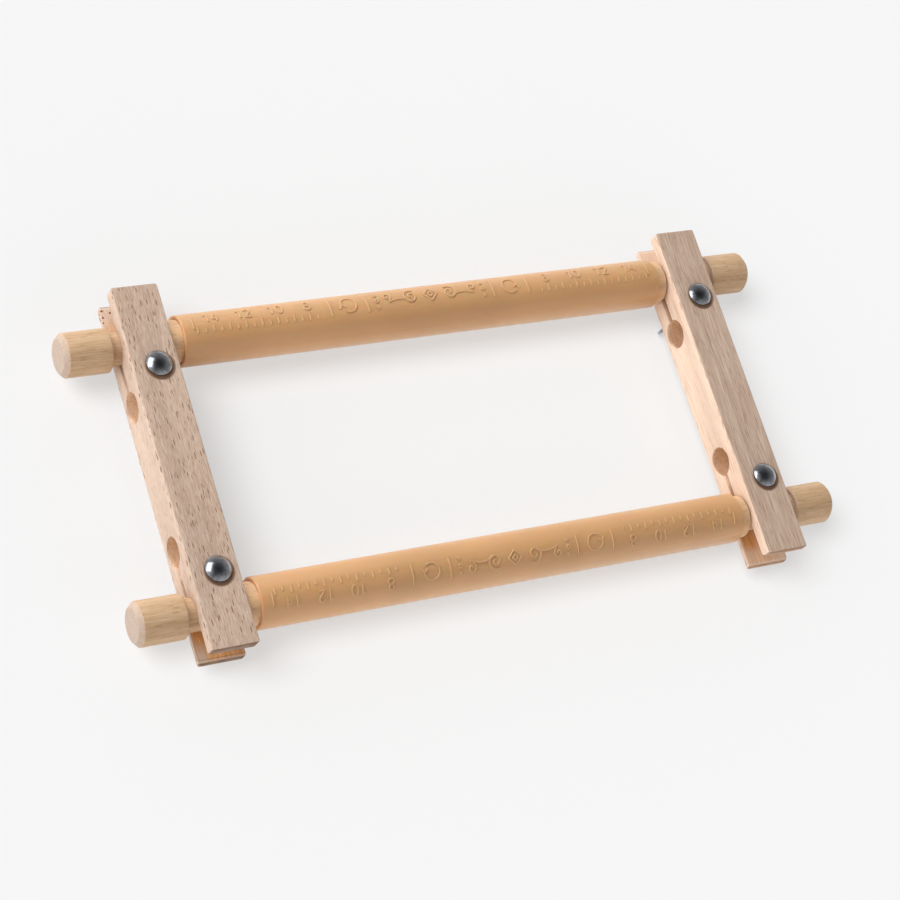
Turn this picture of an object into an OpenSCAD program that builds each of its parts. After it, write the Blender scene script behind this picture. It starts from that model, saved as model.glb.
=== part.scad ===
// Embroidery clip frame, in millimetres.
// Two slotted arms carry a dowel roller in each mouth. A long push-on clip holds the
// cloth round each roller, and a coach bolt with a washer and a wing nut draws the jaws
// of every mouth together on the roller's neck.
// X runs along the rollers, Y along the arms and Z out of the front. The frame lies on
// its four bolt ends at Z = 0, and its middle is at X = 0, Y = 0.

/* [Arms] */
// Width of an arm, measured along the rollers
arm_w = 28.3; // [24:0.1:40]
// Thickness of an arm, from back to front
arm_t = 28.3; // [26:0.1:36]
// Distance between the middle lines of the two arms
arm_pitch = 361; // [260:1:460]
// Distance between the two roller axes
roller_pitch = 159; // [130:1:240]
// Wood beyond the roller axis at an arm's long end
long_end = 30.6; // [24:0.1:40]
// Wood beyond the roller axis at an arm's short end
short_end = 26.4; // [20:0.1:36]
// Radius of the four upright corners of an arm
corner_r = 2.5; // [1.5:0.1:4]
// Radius of the eased long edges and end edges
edge_r = 1.2; // [0.5:0.1:1.4]

/* [Mouths] */
// Height of the roller axis over an arm's back
seat_h = 12.4; // [12:0.1:14]
// How much narrower a mouth's throat is than the neck it holds
throat_bite = 2.25; // [0.5:0.05:4]
// Width of the saw slit between the seat and the relief hole
slit_w = 4; // [2:0.1:5]
// Diameter of the relief hole at the slit's inner end
relief_d = 18; // [12:0.5:19]
// Distance of the relief hole from the roller axis
relief_in = 36.1; // [34:0.1:46]
// Radius of the front jaw's inner corner at an arm's long end
front_lip_r = 4; // [1:0.1:4.5]
// Radius of the front jaw's inner corner at an arm's short end
short_lip_r = 1.4; // [1:0.1:4.5]
// Radius of the back jaw's inner corner at both ends
back_lip_r = 2.2; // [0.5:0.1:2.4]

/* [Rollers] */
// Diameter of the dowel
roller_d = 25.4; // [22:0.1:28]
// Diameter of the turned neck that sits in the mouth
neck_d = 19.05; // [16:0.05:19.5]
// Length of the knob outside an arm
knob_l = 28.3; // [18:0.1:40]
// Chamfer round a knob's outer end
knob_edge = 2.8; // [1:0.1:5]
// Chamfer at the shoulders of a neck
shoulder_edge = 0.6; // [0.2:0.1:1.2]
// Gap between the dowel's shoulder and an arm's inner face
shoulder_gap = 0.75; // [0.4:0.05:2]
// Gap between an arm's outer face and the knob
knob_gap = 5.7; // [1:0.1:8]

/* [Clips] */
// Bare dowel left at each end of a clip
clip_inset = 6.85; // [2:0.05:20]
// Wall of a clip
clip_wall = 2.25; // [1.5:0.05:3.5]
// Angle left open along the back of a clip, in degrees
clip_open = 110; // [70:1:150]
// Radius of the rounded end edges of a clip
clip_edge_r = 0.7; // [0.2:0.05:0.7]

/* [Bolts] */
// Distance of a bolt from the roller axis
bolt_in = 18.1; // [17:0.1:19]
// How far the bolts stand to the right of an arm's middle line
bolt_shift = 1.8; // [-3:0.1:3]
// Diameter of the bolt over its thread crests
bolt_d = 5.9; // [5:0.1:6]
// How far a bolt stands out of an arm's back
bolt_proud = 16.7; // [16.6:0.1:24]
// Diameter of the domed head
head_d = 15; // [12:0.1:18]
// Height of the head's upright rim
head_rim = 1; // [0.5:0.1:2]
// Height of the dome over the rim
head_dome = 3.4; // [2:0.1:5]
// Width across the flats of the square neck
square_w = 6.4; // [6.1:0.1:7]
// Depth of the square neck
square_h = 3.4; // [2:0.1:5]
// Length of thread at a bolt's end
thread_l = 18; // [16:0.5:22]
// Distance from crest to crest
thread_pitch = 1; // [0.8:0.05:1.25]
// Depth of the thread
thread_h = 0.5; // [0.3:0.05:0.6]

/* [Washers] */
// Diameter of a washer
washer_d = 12.5; // [11:0.1:16]
// Thickness of a washer
washer_t = 1.6; // [1:0.1:1.6]

/* [Wing nuts] */
// Diameter of the hub where it bears on the washer
hub_base_d = 11.5; // [10:0.1:13]
// Diameter of the hub at its free end
hub_top_d = 10; // [8.5:0.1:10]
// Height of the hub
hub_h = 7.5; // [6:0.1:9]
// Span from wing tip to wing tip
wing_span = 26.4; // [24:0.1:29]
// Height from the washer to the wing tips
wing_h = 12.8; // [11:0.1:12.8]
// Thickness of a wing
wing_t = 1.9; // [1.2:0.1:3]
// Radius of the round lobe at a wing's tip
lobe_r = 3.6; // [2.5:0.1:4]
// Radius of a wing's root on the hub
root_r = 2.6; // [2:0.1:2.8]
// Height of a wing's root over the washer
root_lift = 1; // [0.5:0.1:1.5]
// Direction of the wings at the left end of the upper roller, in degrees
turn_left_upper = 80; // [0:1:179]
// Direction of the wings at the left end of the lower roller, in degrees
turn_left_lower = 100; // [0:1:179]
// Direction of the wings at the right end of the upper roller, in degrees
turn_right_upper = 32; // [0:1:179]
// Direction of the wings at the right end of the lower roller, in degrees
turn_right_lower = 95; // [0:1:179]

/* [Fits] */
// Clearance round a neck in its seat
neck_fit = 0.05; // [0.03:0.01:0.2]
// Clearance between a clip and its roller
clip_fit = 0.05; // [0.03:0.01:0.2]
// Clearance between a nut's bore and the thread crests
thread_fit = 0.08; // [0.05:0.01:0.15]
// Clearance round a bolt in an arm and in a washer
hole_fit = 0.25; // [0.1:0.05:0.4]
// Clearance round the square neck in its pocket
square_fit = 0.1; // [0.05:0.01:0.2]
// Gap between an arm, its washer and its nut
seat_gap = 0.05; // [0.02:0.01:0.1]

/* [Hidden] */

$fn = 96;

// How far a cut runs past the surface that it opens
past = 1;

beech = [0.84, 0.72, 0.6];
dowel_wood = [0.8, 0.66, 0.5];
clip_tan = [0.86, 0.68, 0.52];
steel = [0.72, 0.73, 0.75];

arm_x = arm_pitch / 2;
roller_y = roller_pitch / 2;
bolt_y = roller_y - bolt_in;
arm_len = roller_pitch + long_end + short_end;

// Heights of an arm's back, its front and the roller axes
back_z = bolt_proud;
front_z = back_z + arm_t;
axis_z = back_z + seat_h;

neck_r = neck_d / 2;
seat_r = neck_r + neck_fit;
throat = neck_d - throat_bite;

// Places along a roller, from its middle
barrel_end = arm_x - arm_w / 2 - shoulder_gap;
knob_start = arm_x + arm_w / 2 + knob_gap;
roller_end = knob_start + knob_l;

clip_r = roller_d / 2 + clip_fit;
clip_l = 2 * (barrel_end - clip_inset);

bolt_r = bolt_d / 2;
hole_r = bolt_r + hole_fit;
pocket_w = square_w + 2 * square_fit;
pocket_h = square_h + square_fit;
core_r = bolt_r - thread_h;
ring_count = floor(thread_l / thread_pitch);
thread_end = ring_count * thread_pitch;

// Heights of a washer's and a nut's upper faces
washer_z = back_z - seat_gap;
nut_z = washer_z - washer_t - seat_gap;

// Rectangle with round corners, standing on the X axis of its sketch
module rounded_rect(size, r) {
    translate([-size.x / 2, r]) square([size.x, size.y - 2 * r]);
    translate([r - size.x / 2, 0]) square([size.x - 2 * r, size.y]);
    for (x = [r - size.x / 2, size.x / 2 - r], y = [r, size.y - r])
        translate([x, y]) circle(r);
}

// Cut that rounds an inner corner of a jaw, with the corner at the origin
module lip_cut(r) {
    difference() {
        translate([-r, 0]) square([r + past, r]);
        translate([-r, r]) circle(r);
    }
}

// Mouth in side view, with the roller axis at the origin and its open end at reach
module mouth(reach, front_r) {
    circle(seat_r);
    translate([0, -throat / 2]) square([reach + past, throat]);
    translate([reach, throat / 2]) lip_cut(front_r);
    translate([reach, -throat / 2]) mirror([0, 1]) lip_cut(back_lip_r);
    translate([-relief_in, -slit_w / 2]) square([relief_in, slit_w]);
    translate([-relief_in, 0]) circle(relief_d / 2);
}

// Arm in side view, with its back on the sketch's X axis and its long end to the right
module arm_side() {
    difference() {
        translate([(long_end - short_end) / 2, 0]) rounded_rect([arm_len, arm_t], edge_r);
        translate([roller_y, seat_h]) mouth(long_end, front_lip_r);
        translate([-roller_y, seat_h]) mirror([1, 0]) mouth(short_end, short_lip_r);
    }
}

// Arm lying on its back at Z = 0, rounded along its length, at its ends and in plan
module arm_blank() {
    middle_y = (long_end - short_end) / 2;
    intersection() {
        rotate([90, 0, 90]) linear_extrude(arm_w, center = true) arm_side();
        translate([0, middle_y - arm_len / 2, 0]) linear_extrude(arm_t)
            rounded_rect([arm_w, arm_len], corner_r);
        translate([0, middle_y, 0]) rotate([90, 0, 0])
            linear_extrude(arm_len, center = true) rounded_rect([arm_w, arm_t], edge_r);
    }
}

// Hole through an arm with a square pocket under the bolt's head
module bolt_hole() {
    translate([0, 0, -past]) cylinder(h = arm_t + 2 * past, r = hole_r);
    translate([-pocket_w / 2, -pocket_w / 2, arm_t - pocket_h])
        cube([pocket_w, pocket_w, pocket_h + past]);
}

// Both arms are cut from one blank, and the right arm's is turned half round
module arm(middle_x, turn) {
    color(beech) translate([middle_x, 0, back_z]) difference() {
        rotate([0, 0, turn]) arm_blank();
        for (y = [-bolt_y, bolt_y]) translate([bolt_shift, y, 0]) bolt_hole();
    }
}

module left_arm() {
    arm(-arm_x, 0);
}

module right_arm() {
    arm(arm_x, 180);
}

// Roller's outline from its middle to its end: [radius, distance along the axis]
function roller_outline(r) = [
    [r, barrel_end - shoulder_edge], [r - shoulder_edge, barrel_end],
    [neck_r, barrel_end], [neck_r, knob_start],
    [r - shoulder_edge, knob_start], [r, knob_start + shoulder_edge],
    [r, roller_end - knob_edge], [r - knob_edge, roller_end], [0, roller_end]
];

module roller(y) {
    half = roller_outline(roller_d / 2);
    other_half = [for (i = [len(half) - 1 : -1 : 0]) [half[i].x, -half[i].y]];
    color(dowel_wood) translate([0, y, axis_z]) rotate([0, 90, 0])
        rotate_extrude() polygon(concat(half, other_half));
}

module upper_roller() {
    roller(roller_y);
}

module lower_roller() {
    roller(-roller_y);
}

// Clip along X round its roller's axis, open at the back and bead-edged there
module clip(y) {
    color(clip_tan) translate([0, y, axis_z]) rotate([0, 90, 0]) {
        rotate([0, 0, clip_open / 2]) rotate_extrude(angle = 360 - clip_open)
            translate([clip_r + clip_wall / 2, -clip_l / 2])
                rounded_rect([clip_wall, clip_l], clip_edge_r);
        for (side = [-1, 1]) rotate([0, 0, side * clip_open / 2])
            translate([clip_r + clip_wall / 2, 0, 0])
                cylinder(h = clip_l - 2 * clip_edge_r, d = clip_wall, center = true);
    }
}

module upper_clip() {
    clip(roller_y);
}

module lower_clip() {
    clip(-roller_y);
}

// Domed head standing on Z = 0, turned from one sphere
module bolt_head() {
    head_h = head_rim + head_dome;
    dome_r = (pow(head_d / 2, 2) + pow(head_dome, 2)) / (2 * head_dome);
    rotate_extrude() intersection() {
        translate([0, head_h - dome_r]) circle(dome_r);
        square([head_d / 2, head_h]);
    }
}

// Thread from its tip at Z = 0 upwards, as a stack of rings
module thread() {
    rings = [for (i = [0 : ring_count - 1]) each [
        [bolt_r, (i + 0.5) * thread_pitch],
        [core_r, (i + 1) * thread_pitch]
    ]];
    rotate_extrude() polygon(concat([[0, 0], [core_r, 0]], rings, [[0, thread_end]]));
}

module bolt(x, y) {
    color(steel) translate([x + bolt_shift, y, 0]) {
        thread();
        translate([0, 0, thread_end]) cylinder(h = front_z - thread_end, r = bolt_r);
        translate([-square_w / 2, -square_w / 2, front_z - square_h])
            cube([square_w, square_w, square_h]);
        translate([0, 0, front_z]) bolt_head();
    }
}

module bolt_left_upper() {
    bolt(-arm_x, bolt_y);
}

module bolt_left_lower() {
    bolt(-arm_x, -bolt_y);
}

module bolt_right_upper() {
    bolt(arm_x, bolt_y);
}

module bolt_right_lower() {
    bolt(arm_x, -bolt_y);
}

module washer(x, y) {
    color(steel) translate([x + bolt_shift, y, washer_z - washer_t]) difference() {
        cylinder(h = washer_t, d = washer_d);
        translate([0, 0, -past]) cylinder(h = washer_t + 2 * past, r = hole_r);
    }
}

module washer_left_upper() {
    washer(-arm_x, bolt_y);
}

module washer_left_lower() {
    washer(-arm_x, -bolt_y);
}

module washer_right_upper() {
    washer(arm_x, bolt_y);
}

module washer_right_lower() {
    washer(arm_x, -bolt_y);
}

// Outline round two circles and the tangents that join them
module taper(from, from_r, to, to_r) {
    way = to - from;
    along = atan2(way.y, way.x);
    aside = acos((from_r - to_r) / norm(way));
    low = [cos(along - aside), sin(along - aside)];
    high = [cos(along + aside), sin(along + aside)];
    translate(from) circle(from_r);
    translate(to) circle(to_r);
    polygon([from + from_r * low, to + to_r * low, to + to_r * high, from + from_r * high]);
}

// Wing in section: from the hub's foot out to the lobe at the tip
module wing() {
    root = [hub_top_d / 2, root_r + root_lift];
    tip = [wing_span / 2 - lobe_r, wing_h - lobe_r];
    rotate([90, 0, 0]) linear_extrude(wing_t, center = true) taper(root, root_r, tip, lobe_r);
}

// Wing nut hanging under the washer, its wings along the given direction
module wing_nut(x, y, turn) {
    color(steel) translate([x + bolt_shift, y, nut_z]) rotate([0, 0, turn])
        rotate([180, 0, 0]) difference() {
            union() {
                cylinder(h = hub_h, d1 = hub_base_d, d2 = hub_top_d);
                wing();
                rotate([0, 0, 180]) wing();
            }
            translate([0, 0, -past])
                cylinder(h = hub_h + 2 * past, r = bolt_r + thread_fit);
        }
}

module wing_nut_left_upper() {
    wing_nut(-arm_x, bolt_y, turn_left_upper);
}

module wing_nut_left_lower() {
    wing_nut(-arm_x, -bolt_y, turn_left_lower);
}

module wing_nut_right_upper() {
    wing_nut(arm_x, bolt_y, turn_right_upper);
}

module wing_nut_right_lower() {
    wing_nut(arm_x, -bolt_y, turn_right_lower);
}

left_arm();
right_arm();
upper_roller();
lower_roller();
upper_clip();
lower_clip();
bolt_left_upper();
bolt_left_lower();
bolt_right_upper();
bolt_right_lower();
washer_left_upper();
washer_left_lower();
washer_right_upper();
washer_right_lower();
wing_nut_left_upper();
wing_nut_left_lower();
wing_nut_right_upper();
wing_nut_right_lower();
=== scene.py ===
"""Embroidery clip frame: beech arms, turned rollers, moulded clips and steel fasteners."""
import math

import bmesh
import bpy
from mathutils import Matrix, Quaternion, Vector


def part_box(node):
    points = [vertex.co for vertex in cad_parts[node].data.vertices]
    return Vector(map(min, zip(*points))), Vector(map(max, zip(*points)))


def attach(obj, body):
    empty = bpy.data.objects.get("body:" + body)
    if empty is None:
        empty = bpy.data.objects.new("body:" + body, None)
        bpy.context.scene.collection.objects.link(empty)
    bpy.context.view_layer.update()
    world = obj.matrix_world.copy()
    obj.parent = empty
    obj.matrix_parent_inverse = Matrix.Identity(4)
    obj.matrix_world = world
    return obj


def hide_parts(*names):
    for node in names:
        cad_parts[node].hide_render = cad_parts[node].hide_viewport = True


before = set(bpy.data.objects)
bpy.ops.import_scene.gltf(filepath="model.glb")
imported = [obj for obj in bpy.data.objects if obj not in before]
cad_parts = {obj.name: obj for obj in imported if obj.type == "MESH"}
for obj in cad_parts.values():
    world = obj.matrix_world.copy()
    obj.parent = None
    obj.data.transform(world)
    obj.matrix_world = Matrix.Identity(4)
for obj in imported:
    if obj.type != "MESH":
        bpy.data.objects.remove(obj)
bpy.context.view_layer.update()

bl_info = {
    "name": "Embroidery Clip Frame",
    "version": (1, 0, 0),
    "blender": (4, 5, 0),
    "location": "3D View > Sidebar > Clip Frame",
    "description": "Dresses the frame's arms, rollers, clips and fasteners and sets its stage",
    "category": "Object",
}

MM = 0.001

PLACES = ("left_upper", "left_lower", "right_upper", "right_lower")
ENDS = ("upper", "lower")
SIDES = ("left", "right")


def node_middle(name):
    """Middle of a node's box at rest."""
    low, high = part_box(name)
    return (low + high) / 2


def node_size(name):
    """Size of a node's box along X, Y and Z."""
    low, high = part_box(name)
    return high - low


# Sizes read from the frame, in metres
DOWEL_R = node_size("upper_roller").z / 2
ROLLER_HALF = node_size("upper_roller").x / 2
CLIP_R = node_size("upper_clip").y / 2
ARM_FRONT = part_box("left_arm")[1].z
BOLT_LENGTH = node_size("bolt_left_upper").z


# Sizes and colours that a user would change

def length(name, text, value_mm):
    """A length property whose default is given in millimetres."""
    return bpy.props.FloatProperty(name=name, description=text, default=value_mm * MM,
                                   min=0.0, precision=5, unit="LENGTH")


def colour(name, text, value):
    """A colour property, linear red, green and blue."""
    return bpy.props.FloatVectorProperty(name=name, description=text, default=value,
                                         min=0.0, max=1.0, size=3, subtype="COLOR")


def share(name, text, value):
    """A property from 0 to 1."""
    return bpy.props.FloatProperty(name=name, description=text, default=value,
                                   min=0.0, max=1.0, subtype="FACTOR")


class ClipFrameSizes(bpy.types.PropertyGroup):
    """Sizes of what is added to the frame's own solids."""
    arris: length("Arris", "Width of the eased edge round an arm's mouths and holes", 0.45)
    neck_radius: length("Neck radius", "Radius of a roller's turned neck", 9.525)
    barrel_half: length("Half barrel", "From a roller's middle to its shoulder", 165.6)
    knob_start: length("Knob start", "From a roller's middle to its knob", 200.35)
    knob_edge: length("Knob edge", "Chamfer round a knob's outer end", 2.8)
    shoulder_edge: length("Shoulder edge", "Chamfer at a neck's shoulders", 0.6)
    stroke_width: length("Stroke width", "Width of the raised strokes on a clip", 1.1)
    stroke_height: length("Stroke height", "How proud the strokes stand of a clip", 0.5)
    tick_gap: length("Tick gap", "Distance between two ticks of a clip's scale", 5.0)
    tick_height: length("Tick height", "Length of the longer ticks", 4.2)
    bare_middle: length("Bare middle", "From a clip's middle to its first tick", 71.0)
    light_depth: length("Light depth", "How deep light goes into a clip's plastic", 5.0)
    head_radius: length("Head radius", "Radius of a bolt's domed head", 7.5)
    head_rim: length("Head rim", "Height of the rim under a bolt's dome", 1.0)
    thread_core: length("Thread core", "Radius of a bolt between its thread's crests", 2.45)
    thread_pitch: length("Thread pitch", "Distance from crest to crest", 1.0)
    thread_length: length("Thread length", "Length of thread at a bolt's end", 18.0)
    washer_edge: length("Washer edge", "Width of the rounding of a washer's edges", 0.2)
    cast_grain: length("Cast grain", "Voxel that softens a wing nut's corners", 0.24)


class ClipFrameColours(bpy.types.PropertyGroup):
    """Colours of the wood, the clips, the steel and the floor."""
    arm_pale: colour("Arm, pale", "Pale wood of the arms", (0.57, 0.425, 0.335))
    arm_dark: colour("Arm, dark", "Darker growth in the arms", (0.475, 0.335, 0.25))
    arm_side: colour("Arm, sides", "Paler sides of the arms", (0.68, 0.51, 0.40))
    # Painted light: the next two colours are warm painted shade deep in the mouths and painted
    # bounce light in the holes
    arm_inside: colour("Arm, inside", "Warm wood deep inside the mouths", (0.85, 0.43, 0.15))
    arm_hole: colour("Arm, holes", "Wood inside the round holes", (0.80, 0.53, 0.34))
    arm_end: colour("Arm, end grain", "Sawn ends of the arms", (0.19, 0.10, 0.05))
    fleck: colour("Fleck", "Ray flecks and pores of the beech", (0.25, 0.135, 0.075))
    dowel_pale: colour("Dowel, pale", "Pale wood of the rollers", (0.61, 0.41, 0.245))
    dowel_dark: colour("Dowel, dark", "Darker growth in the rollers", (0.48, 0.30, 0.155))
    # Partly painted light: the barrel's lighter, warmer tone also stands in for light where the
    # arms shade the barrel
    dowel_barrel: colour("Dowel, barrel", "Warmer wood of the rollers between their necks",
                         (0.80, 0.50, 0.27))
    dowel_end: colour("Dowel, end grain", "Sawn ends of the rollers", (0.54, 0.43, 0.36))
    clip: colour("Clip", "Moulded clips", (0.65, 0.365, 0.165))
    steel: colour("Steel", "Bolts, washers and wing nuts", (0.50, 0.53, 0.58))
    floor: colour("Floor", "Floor under the frame", (0.90, 0.915, 0.93))
    key_share: share("Key share", "Level light from the key lamp", 0.27)
    left_share: share("Left share", "Level light from the soft lamp at the left", 0.22)
    floor_share: share("Floor share", "Level light that the floor's own lamp gives it", 0.60)


def sizes():
    """The scene's sizes for this object."""
    return bpy.context.scene.clip_frame_sizes


def colours():
    """The scene's colours for this object."""
    return bpy.context.scene.clip_frame_colours


# Node trees

class Value:
    """A node's output that takes part in sums; each step adds a node to the same tree."""

    def __init__(self, socket):
        self.socket = socket
        self.tree = socket.id_data

    def maths(self, operation, *others):
        """This value and others through a maths node, or a vector maths node for a vector."""
        kind = "ShaderNodeVectorMath" if self.socket.type == "VECTOR" else "ShaderNodeMath"
        return output_of(self.tree, kind, [self, *others], operation=operation)

    def measure(self, operation, other):
        """A number from two vectors, such as their distance."""
        return output_of(self.tree, "ShaderNodeVectorMath", [self, other], output="Value",
                         operation=operation)

    def __add__(self, other):
        return self.maths("ADD", other)

    def __sub__(self, other):
        return self.maths("SUBTRACT", other)

    def __rsub__(self, other):
        return output_of(self.tree, "ShaderNodeMath", [other, self], operation="SUBTRACT")

    def __mul__(self, other):
        return self.maths("MULTIPLY", other)

    def __truediv__(self, other):
        return self.maths("DIVIDE", other)

    def __rtruediv__(self, other):
        return output_of(self.tree, "ShaderNodeMath", [other, self], operation="DIVIDE")

    def __abs__(self):
        return self.maths("ABSOLUTE")


def feed(socket, value):
    """Links a node's input to a value, or sets it to a plain one."""
    if isinstance(value, Value):
        value.tree.links.new(value.socket, socket)
    elif socket.type == "RGBA" and len(value) == 3:
        socket.default_value = (*value, 1.0)
    else:
        socket.default_value = value


def put(tree, kind, inputs=(), **settings):
    """Adds a node with its settings and feeds its inputs, given by name or in order."""
    made = tree.nodes.new(kind)
    for name, value in settings.items():
        setattr(made, name, value)
    by_key = inputs if isinstance(inputs, dict) else dict(enumerate(inputs))
    for key, value in by_key.items():
        feed(made.inputs[key], value)
    return made


def output_of(tree, kind, inputs=(), output=0, **settings):
    """One output of a new node."""
    return Value(put(tree, kind, inputs, **settings).outputs[output])


def outputs(node):
    """All outputs of a node by name."""
    return {socket.name: Value(socket) for socket in node.outputs}


def parts(vector):
    """A vector's X, Y and Z, or a colour's red, green and blue."""
    split = put(vector.tree, "ShaderNodeSeparateXYZ", [vector])
    return [Value(socket) for socket in split.outputs]


def vector_of(tree, x=0.0, y=0.0, z=0.0):
    """A vector from its X, Y and Z."""
    return output_of(tree, "ShaderNodeCombineXYZ", [x, y, z])


def mix(tree, factor, first, second):
    """Two colours mixed by a factor."""
    made = put(tree, "ShaderNodeMix", data_type="RGBA")
    for number, value in ((0, factor), (6, first), (7, second)):
        feed(made.inputs[number], value)
    return Value(made.outputs[2])


def ramp(value, low, high):
    """0 up to low, 1 from high on, and a smooth step between them."""
    return output_of(value.tree, "ShaderNodeMapRange",
                     {"Value": value, "From Min": low, "From Max": high},
                     interpolation_type="SMOOTHSTEP")


def noise(vector, scale, detail, roughness=0.5):
    """Noise between 0 and 1."""
    return output_of(vector.tree, "ShaderNodeTexNoise", {
        "Vector": vector, "Scale": scale, "Detail": detail, "Roughness": roughness})


def cells(vector, scale=1.0, randomness=1.0):
    """Distance to the nearest of some scattered points, and three random shares of its own."""
    found = outputs(put(vector.tree, "ShaderNodeTexVoronoi", {
        "Vector": vector, "Scale": scale, "Randomness": randomness}))
    return found["Distance"], parts(found["Color"])


def spot(distance, reach, core):
    """A soft dot: 0 beyond its reach, 1 inside its core, which is a share of its reach."""
    return 1.0 - ramp(distance, reach * core, reach)


def new_group(kind, name, inputs, results):
    """A node group with named sockets: (name, type) or (name, type, default)."""
    tree = bpy.data.node_groups.new(name, kind)
    for in_out, sockets in (("INPUT", inputs), ("OUTPUT", results)):
        for socket_name, socket_type, *default in sockets:
            made = tree.interface.new_socket(socket_name, in_out=in_out,
                                             socket_type="NodeSocket" + socket_type)
            if default:
                made.default_value = default[0]
    source = outputs(tree.nodes.new("NodeGroupInput"))
    return tree, source, tree.nodes.new("NodeGroupOutput").inputs


def joined(*geometries):
    """Several geometries as one."""
    made = put(geometries[0].tree, "GeometryNodeJoinGeometry")
    for geometry in geometries:
        feed(made.inputs[0], geometry)
    return Value(made.outputs[0])


def end_tree(sink, geometry, material):
    """Ends a geometry tree with real geometry that has its material."""
    real = output_of(geometry.tree, "GeometryNodeRealizeInstances", [geometry])
    feed(sink["Geometry"], output_of(geometry.tree, "GeometryNodeSetMaterial",
                                     {"Geometry": real, "Material": material}))
    return geometry.tree


# Objects and meshes

def add_object(name, data):
    """A new object in the scene."""
    made = bpy.data.objects.new(name, data)
    bpy.context.scene.collection.objects.link(made)
    return made


def new_piece(name, mesh, body, replaced=(), material=None):
    """An object that rides on a body, takes a slot's finish and stands for some nodes."""
    if material:
        mesh.materials.append(material)
    piece = add_object(name, mesh)
    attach(piece, body)
    if replaced:
        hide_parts(*replaced)


def mesh_of(name, points, edges=(), faces=()):
    """A mesh from plain lists."""
    mesh = bpy.data.meshes.new(name)
    mesh.from_pydata([tuple(point) for point in points], list(edges), list(faces))
    mesh.update()
    return mesh


def smooth_by_angle(mesh, degrees=32.0):
    """Smooth shading that keeps the edges sharper than an angle."""
    mesh.shade_smooth()
    mesh.set_sharp_from_angle(angle=math.radians(degrees))


def evaluated_mesh(holder, name):
    """The plain mesh that an object's modifiers make. The object is then removed."""
    depsgraph = bpy.context.evaluated_depsgraph_get()
    mesh = bpy.data.meshes.new_from_object(holder.evaluated_get(depsgraph))
    mesh.name = name
    bpy.data.objects.remove(holder)
    return mesh


def grown_mesh(name, seed, tree, values):
    """The plain mesh that a Geometry Nodes tree makes from a seed mesh."""
    holder = add_object(name + "_seed", seed)
    modifier = holder.modifiers.new(tree.name, "NODES")
    modifier.node_group = tree
    for item in tree.interface.items_tree:
        if item.in_out == "INPUT" and item.name in values:
            modifier[item.identifier] = values[item.name]
    return evaluated_mesh(holder, name)


def modified_mesh(mesh, modifiers):
    """A mesh after modifiers, each given as a type and its settings."""
    holder = add_object(mesh.name + "_holder", mesh)
    for kind, settings in modifiers:
        modifier = holder.modifiers.new(kind.title(), kind)
        for name, value in settings.items():
            setattr(modifier, name, value)
    return evaluated_mesh(holder, mesh.name)


def merged_copy(node, name, flat_angle=0.5):
    """A node's mesh with its loose triangles merged and, given an angle, flat faces joined."""
    weld = 0.002 * MM
    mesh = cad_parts[node].data.copy()
    mesh.name = name
    work = bmesh.new()
    work.from_mesh(mesh)
    bmesh.ops.remove_doubles(work, verts=work.verts, dist=weld)
    if flat_angle:
        bmesh.ops.dissolve_limit(work, angle_limit=math.radians(flat_angle),
                                 verts=work.verts, edges=work.edges)
    work.to_mesh(mesh)
    work.free()
    mesh.materials.clear()
    return mesh


def eased_copy(node, name, width):
    """A node's mesh with its sharp edges rounded off by a width."""
    sharp = math.radians(40)
    mesh = modified_mesh(merged_copy(node, name), [("BEVEL", {
        "width": width, "segments": 2, "limit_method": "ANGLE", "angle_limit": sharp})])
    smooth_by_angle(mesh)
    return mesh


# Shared effects

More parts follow.
